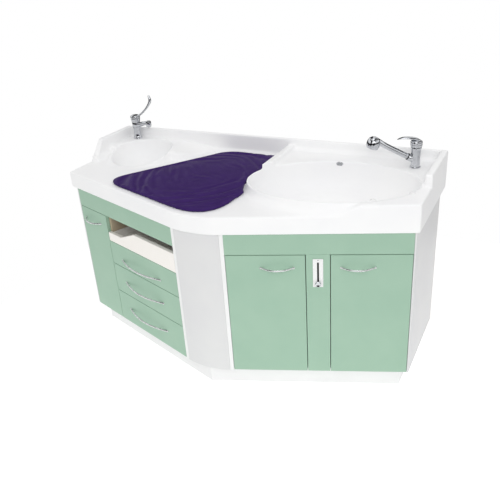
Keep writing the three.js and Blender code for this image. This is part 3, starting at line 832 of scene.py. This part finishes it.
def addHandles():
    bowDoor = makeHandle("doorHandle", handle["doorSpan"])
    bowDrawer = makeHandle("drawerHandle", handle["drawerSpan"])
    # node, model, front and place along it
    frontHandles = (
        ("handle_bath_door_left", bowDoor, 1, 0.241), ("handle_bath_door_right", bowDoor, 1, 0.581),
        ("handle_side_door", bowDoor, -1, 0.700), ("handle_drawer_top", bowDrawer, -1, 0.310),
        ("handle_drawer_middle", bowDrawer, -1, 0.310), ("handle_drawer_bottom", bowDrawer, -1, 0.310),
    )
    for node, model, side, along in frontHandles:
        low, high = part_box(node)
        piece = placeOnFace(copyOf(model, camel(node)), side, along, (low.z + high.z) / 2)
        finishPiece(piece, bodyOf(node), handleMetal, "chrome", node)
    removeModels(bowDoor, bowDrawer)


addHandles()
print("handles finished")


# taps, each drawn at the origin with its spout along +X
def finishTapPart(piece, fitting, body, *nodes):
    return finishPiece(stand(piece, fitting), body, chrome, "chrome", *nodes)


def finishRubber(piece, body):
    # black rubber shows in the scene alone and has no slot in the record
    piece.data.materials.clear()
    piece.data.materials.append(blackRubber)
    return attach(piece, body)


def addShankAndNut(piece):
    # threaded shank under the deck with its clamping nut
    nutTop = -0.0182
    combine(piece, turnedPart("shank", [(0.0150, -0.088), (0.0150, 0.001)], 32))
    return combine(piece, turnedPart("nut", [
        (0.0215, nutTop - 0.012), (0.0235, nutTop - 0.010), (0.0235, nutTop - 0.001), (0.0225, nutTop),
    ], 6))


mixer = {
    "place": fromBow(0.766, -0.115, table["bathDeck"] + 0.0003),
    "heading": 205,
    "socketFoot": (0.008, 0, 0.0375),
    "socket": (0.034, 0, 0.0505),  # the hand shower rests here
    "head": (0.1905, 0, 0.1215),
    "headAxis": (-0.30, 0, 0.954),
}


def addMixer():
    column = turnedPart("mixerBody", [
        (0.0240, 0.0), (0.0250, 0.0008), (0.0250, 0.0035), (0.0238, 0.0052), (0.0212, 0.0062),
        (0.0206, 0.0120), (0.0206, 0.0350), (0.0214, 0.0620),
        (0.0230, 0.0830), (0.0246, 0.0950), (0.0240, 0.0962),
    ], 64)
    socket = turnedPart("mixerSocket", [
        (0.0170, 0.0), (0.0168, 0.012), (0.0162, 0.0275), (0.0150, 0.0292),
    ], 48, mixer["socketFoot"], mixer["socket"])
    combine(column, socket)
    addShankAndNut(column)
    finishTapPart(column, mixer, "cabinet", "mixer_body")

    cap = turnedPart("mixerCap", [
        (0.0240, 0.0966), (0.0252, 0.0974), (0.0262, 0.1045), (0.0262, 0.1054), (0.0254, 0.1062),
    ], 64)
    finishTapPart(cap, mixer, "mixer_cap", "mixer_cap")

    lever = turnedPart("mixerLever", [
        (0.0250, 0.1067), (0.0262, 0.1076), (0.0266, 0.1150), (0.0262, 0.1190), (0.0240, 0.1225),
        (0.0190, 0.1250), (0.0110, 0.1262), (0.0040, 0.1266),
    ], 64)
    blade = bendBar("mixerBlade", [
        (-0.0200, 0, 0.1160), (-0.0100, 0, 0.1270), (0.0120, 0, 0.1335), (0.0340, 0, 0.1375),
        (0.0560, 0, 0.1390), (0.0740, 0, 0.1370), (0.0860, 0, 0.1330),
    ], [0.0040, 0.0062, 0.0064, 0.0058, 0.0048, 0.0034, 0.0012], 2.4)
    combine(lever, blade)
    finishTapPart(lever, mixer, "mixer_lever", "mixer_lever")


def addHandShower():
    # pull-out hand shower with its dark sealing ring and spray face
    socket = Vector(mixer["socket"])
    axis = (socket - Vector(mixer["socketFoot"])).normalized()
    shower = bendBar("handShower", [
        socket + axis * 0.0048, (0.080, 0, 0.0750), (0.120, 0, 0.0970), (0.150, 0, 0.1140),
        (0.170, 0, 0.1265), (0.184, 0, 0.1330), (0.194, 0, 0.1320),
    ], [0.0130, 0.0128, 0.0124, 0.0128, 0.0150, 0.0175, 0.0160])
    centre = Vector(mixer["head"])
    above = centre + Vector(mixer["headAxis"])
    head = turnedPart("showerHead", [
        (0.0240, -0.0205), (0.0248, -0.0210), (0.0255, -0.0236), (0.0268, -0.0225), (0.0285, -0.0180),
        (0.0304, -0.0090), (0.0308, 0.0), (0.0292, 0.0100),
        (0.0248, 0.0195), (0.0170, 0.0262), (0.0080, 0.0290),
    ], 64, centre, above)
    combine(shower, head)
    finishTapPart(shower, mixer, "hand_shower", "hand_shower")
    ring = turnedPart("showerRing", [
        (0.0134, 0.0004), (0.0156, 0.0010), (0.0156, 0.0038), (0.0134, 0.0046),
    ], 48, socket, socket + axis)
    spray = turnedPart("sprayFace", [
        (0.0236, -0.0209), (0.0236, -0.0222), (0.0200, -0.0228),
    ], 48, centre, above)
    for piece in (ring, spray):
        finishRubber(stand(piece, mixer), "hand_shower")


# wash basin tap with a swivel spout and an elbow lever
tap = {
    "place": fromBow(-0.812, -0.048, table["shelf"] + 0.0003),
    "heading": -13,
    "leverTurn": 21,
    "outlet": 0.105,
}


def addTap():
    body = turnedPart("tapBody", [
        (0.0240, 0.0), (0.0250, 0.0008), (0.0250, 0.0035), (0.0238, 0.0055), (0.0210, 0.0085),
        (0.0192, 0.0150), (0.0182, 0.0280), (0.0182, 0.0420),
        (0.0192, 0.0540), (0.0208, 0.0615), (0.0200, 0.0622),
    ], 64)
    addShankAndNut(body)
    finishTapPart(body, tap, "cabinet", "tap_body")

    spout = turnedPart("tapSpout", [
        (0.0202, 0.0626), (0.0212, 0.0634), (0.0222, 0.0760), (0.0226, 0.0905), (0.0218, 0.0920),
    ], 64)
    arm = bendBar("spoutArm", [
        (0.006, 0, 0.0780), (0.028, 0, 0.0800), (0.058, 0, 0.0890), (0.084, 0, 0.0960), (0.104, 0, 0.0955),
    ], [0.0140, 0.0130, 0.0112, 0.0105, 0.0115])
    outlet = turnedPart("spoutOutlet", [
        (0.0116, 0.0770), (0.0132, 0.0777), (0.0136, 0.0800), (0.0148, 0.0830), (0.0150, 0.1030),
        (0.0136, 0.1075), (0.0090, 0.1095),
    ], 40, (tap["outlet"], 0, 0), (tap["outlet"], 0, 1))
    combine(spout, arm)
    combine(spout, outlet)
    finishTapPart(spout, tap, "tap_spout", "tap_spout")

    cap = turnedPart("tapCap", [
        (0.0216, 0.0925), (0.0230, 0.0933), (0.0252, 0.1040), (0.0262, 0.1112), (0.0254, 0.1120),
    ], 64)
    finishTapPart(cap, tap, "tap_cap", "tap_cap")

    lever = turnedPart("tapLever", [
        (0.0205, 0.1125), (0.0262, 0.1142), (0.0270, 0.1190), (0.0266, 0.1240), (0.0244, 0.1285),
        (0.0180, 0.1315), (0.0100, 0.1328), (0.0040, 0.1332),
    ], 64)
    elbow = bendBar("elbow", [
        (0.004, 0, 0.1200), (0.028, 0, 0.1290), (0.056, 0, 0.1500), (0.082, 0, 0.1750), (0.100, 0, 0.1980),
        (0.1075, 0, 0.2180), (0.1020, 0, 0.2280), (0.1000, 0, 0.2410),
    ], [0.0064, 0.0054, 0.0050, 0.0056, 0.0070, 0.0078, 0.0058, 0.0038], 1.3)
    elbow.rotation_euler.z = math.radians(tap["leverTurn"])
    combine(lever, applyPlace(elbow))
    finishTapPart(lever, tap, "tap_lever", "tap_lever")


addMixer()
addHandShower()
addTap()
print("taps finished")


# wastes in both bowls, and the bath's plug
waste = {
    "bar": (0.0158, 0.0012),  # half length and half width
    "barTop": -0.0075,
    "barThick": 0.0020,
    "barStep": 0.0025,
}


def addWasteParts():
    floors = {"bath": table["bathDeck"] - top["bathDepth"], "basin": table["shelf"] - top["basinDepth"]}
    halfLong, halfWide = waste["bar"]
    barTop = waste["barTop"]
    barFoot = barTop - waste["barThick"]
    barModel = addBlock("barModel", (-halfLong, -halfWide, barFoot), (halfLong, halfWide, barTop))
    softenEdges(barModel, 0.0005)
    for bowl, floorZ in floors.items():
        node = bowl + "_waste"
        place = top[bowl]
        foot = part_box(node)[0].z - floorZ
        piece = turnedPart(camel(node), [
            (0.0185, foot), (0.0200, foot + 0.001), (0.0200, -0.0042), (0.0228, -0.0040), (0.0228, 0.0006),
            (0.0310, 0.0006), (0.0318, 0.0016), (0.0300, 0.0028), (0.0262, 0.0034), (0.0238, 0.0026),
        ], 64)
        bore = turnedPart("wasteBore", [
            (0.0160, -0.08), (0.0160, -0.006), (0.0222, -0.0005), (0.0240, 0.006),
        ], 48)
        combine(piece, bore, "DIFFERENCE")
        piece.location = (place.x, place.y, floorZ)
        smoothShade(applyPlace(piece), 40)
        finishPiece(piece, "cabinet", chrome, "chrome", node)
        # crossed bars inside the waste
        for step in range(2):
            bar = copyOf(barModel, "wasteBar")
            bar.rotation_euler.z = math.radians(45 + 90 * step)
            bar.location = (place.x, place.y, floorZ - 0.010 - waste["barStep"] * step)
            finishPiece(applyPlace(bar), "cabinet", chrome, "chrome")
    removeModels(barModel)
    plug = turnedPart("bathPlug", [
        (0.0030, -0.0120), (0.0030, 0.0036), (0.0235, 0.0038), (0.0250, 0.0050), (0.0246, 0.0064),
        (0.0215, 0.0080), (0.0140, 0.0092), (0.0060, 0.0098), (0.0020, 0.0100),
    ], 64)
    plug.location = (top["bath"].x, top["bath"].y, floors["bath"])
    smoothShade(applyPlace(plug), 40)
    finishPiece(plug, "bath_plug", chrome, "chrome", "bath_plug")


addWasteParts()


# waste control on the strip between the bath doors
control = {"along": 0.4135, "slotBottom": 0.560, "slotTop": 0.666, "knob": 0.566, "screws": (0.5535, 0.6755)}


def addControl():
    slotHeight = control["slotTop"] - control["slotBottom"]
    slot = addBlock("slotLining", (-0.0039, -0.0016, 0), (0.0039, -0.0006, slotHeight))
    placeOnFace(slot, 1, control["along"], control["slotBottom"])
    finishRubber(slot, "cabinet")
    knob = turnedPart("controlKnob", [
        (0.0026, 0.0020), (0.0026, 0.0042), (0.0104, 0.0044), (0.0116, 0.0052), (0.0126, 0.0090),
        (0.0130, 0.0128), (0.0124, 0.0150), (0.0106, 0.0160),
        (0.0086, 0.0156), (0.0060, 0.0146), (0.0020, 0.0142),
    ], 48, (0, 0, 0), (0, -1, 0))
    placeOnFace(smoothShade(knob, 40), 1, control["along"], control["knob"])
    finishPiece(knob, "control_knob", chrome, "chrome", "control_knob")
    screwModel = smoothShade(turnedPart("screwModel", [
        (0.0030, 0.0028), (0.0030, 0.0034), (0.0022, 0.0038), (0.0010, 0.0039),
    ], 24, (0, 0, 0), (0, -1, 0)), 40)
    for height in control["screws"]:
        screw = placeOnFace(copyOf(screwModel, "plateScrew"), 1, control["along"], height)
        finishPiece(screw, "cabinet", chrome, "chrome")
    removeModels(screwModel)


addControl()


# small covers on the bath's deck, and the oval one over its overflow
covers = {
    "deck": ((0.697, -0.558), (0.828, -0.437)),
    "overflow": fromBow(0.415, -0.1325),
    "overflowFaces": (0.174, -0.985, 0),
    "overflowHeight": 0.9135,
    "oval": 0.55,
}


def addDeckCaps():
    capModel = smoothShade(turnedPart("capModel", [
        (0.0100, -0.0010), (0.0125, 0.0002), (0.0122, 0.0018),
        (0.0100, 0.0030), (0.0050, 0.0036), (0.0015, 0.0037),
    ], 40), 45)
    for x, y in covers["deck"]:
        cap = copyOf(capModel, "deckCap")
        cap.location = fromBow(x, y, table["bathDeck"])
        finishPiece(applyPlace(cap), "cabinet", platePlastic, "plate_white")
    removeModels(capModel)


def addOverflowCover():
    start = covers["overflow"]
    aim = start + Vector(covers["overflowFaces"])
    rim = turnedPart("overflowRim", [
        (0.0150, -0.0020), (0.0170, 0.0004), (0.0168, 0.0022),
        (0.0150, 0.0034), (0.0125, 0.0030), (0.0118, 0.0016),
    ], 40, start, aim)
    grille = turnedPart("overflowGrille", [
        (0.0116, 0.0012), (0.0116, 0.0020), (0.0060, 0.0026),
    ], 40, start, aim)
    for piece, material, slotName in ((rim, chrome, "chrome"), (grille, zincSteel, "steel")):
        piece.scale.z = covers["oval"]
        piece.location.z = covers["overflowHeight"]
        finishPiece(smoothShade(applyPlace(piece), 45), "cabinet", material, slotName)


addDeckCaps()
addOverflowCover()


# concealed hinges: a cup and its wings on each door's inner face
hinge = {"fromEdge": 0.024, "fromEnd": 0.09}


def addHinges():
    cupModel = smoothShade(turnedPart("cupModel", [
        (0.0160, 0.0190), (0.0185, 0.0192), (0.0185, 0.0204),
        (0.0165, 0.0212), (0.0140, 0.0206), (0.0130, 0.0200),
    ], 32, (0, 0, 0), (0, 1, 0)), 40)
    wingModel = softenEdges(addBlock("wingModel", (-0.009, 0.0191, -0.026), (0.009, 0.0203, 0.026)), 0.0005)
    # door, front, its hinged edge and the way in from there
    for node, side, edge, inward in (
        ("bath_door_left", 1, 0.0200, 1), ("bath_door_right", 1, 0.8040, -1), ("side_door", -1, 0.8040, -1),
    ):
        low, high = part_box(node)
        for height in (low.z + hinge["fromEnd"], high.z - hinge["fromEnd"]):
            for model, name in ((cupModel, "hingeCup"), (wingModel, "hingeWing")):
                piece = placeOnFace(copyOf(model, name), side, edge + inward * hinge["fromEdge"], height)
                finishPiece(piece, bodyOf(node), zincSteel, "steel")
    removeModels(cupModel, wingModel)


addHinges()
print("small fittings finished")


# foam mat: its cover is held along the bottom edge and lightly blown up, so that it is slack on top
mat = {"voxel": 0.0062, "held": 0.0035, "rise": 0.0025, "frames": 16, "pressure": 0.12}


def makeMat():
    low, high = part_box("changing_mat")
    piece = fromNode("changing_mat", 0)
    useModifier(piece, "REMESH", mode="VOXEL", voxel_size=mat["voxel"], adaptivity=0)
    useModifier(piece, "SMOOTH", factor=0.5, iterations=6)
    held = piece.vertex_groups.new(name="held")
    for corner in piece.data.vertices:
        if corner.co.z < low.z + mat["held"]:
            held.add([corner.index], 1.0, "REPLACE")
    pick(piece)
    bpy.ops.object.modifier_add(type="CLOTH")
    cover = piece.modifiers[-1]
    cover.settings.quality = 5
    cover.settings.mass = 0.3
    cover.settings.effector_weights.gravity = 0
    cover.settings.tension_stiffness = 30
    cover.settings.compression_stiffness = 10
    cover.settings.shear_stiffness = 10
    cover.settings.bending_stiffness = 2.0
    cover.settings.use_pressure = True
    cover.settings.uniform_pressure_force = mat["pressure"]
    cover.settings.vertex_group_mass = "held"
    cover.settings.shrink_min = -0.012
    cover.collision_settings.use_collision = False
    cover.point_cache.frame_end = mat["frames"]
    scene = bpy.context.scene
    for step in range(1, mat["frames"] + 1):
        scene.frame_set(step)
    bpy.ops.object.modifier_apply(modifier=cover.name)
    scene.frame_set(1)
    for corner in piece.data.vertices:
        corner.co.z = min(max(corner.co.z, low.z), high.z + mat["rise"])
    heights = sorted(corner.co.z for corner in piece.data.vertices)
    last = len(heights) - 1
    print("mat heights:", [round(heights[int(share * last)], 4) for share in (0, 0.4, 0.6, 0.8, 0.95, 1)])
    pick(piece)
    bpy.ops.object.shade_smooth()
    finishPiece(piece, "changing_mat", vinylPurple, "vinyl_purple", "changing_mat")


makeMat()
print("mat finished")
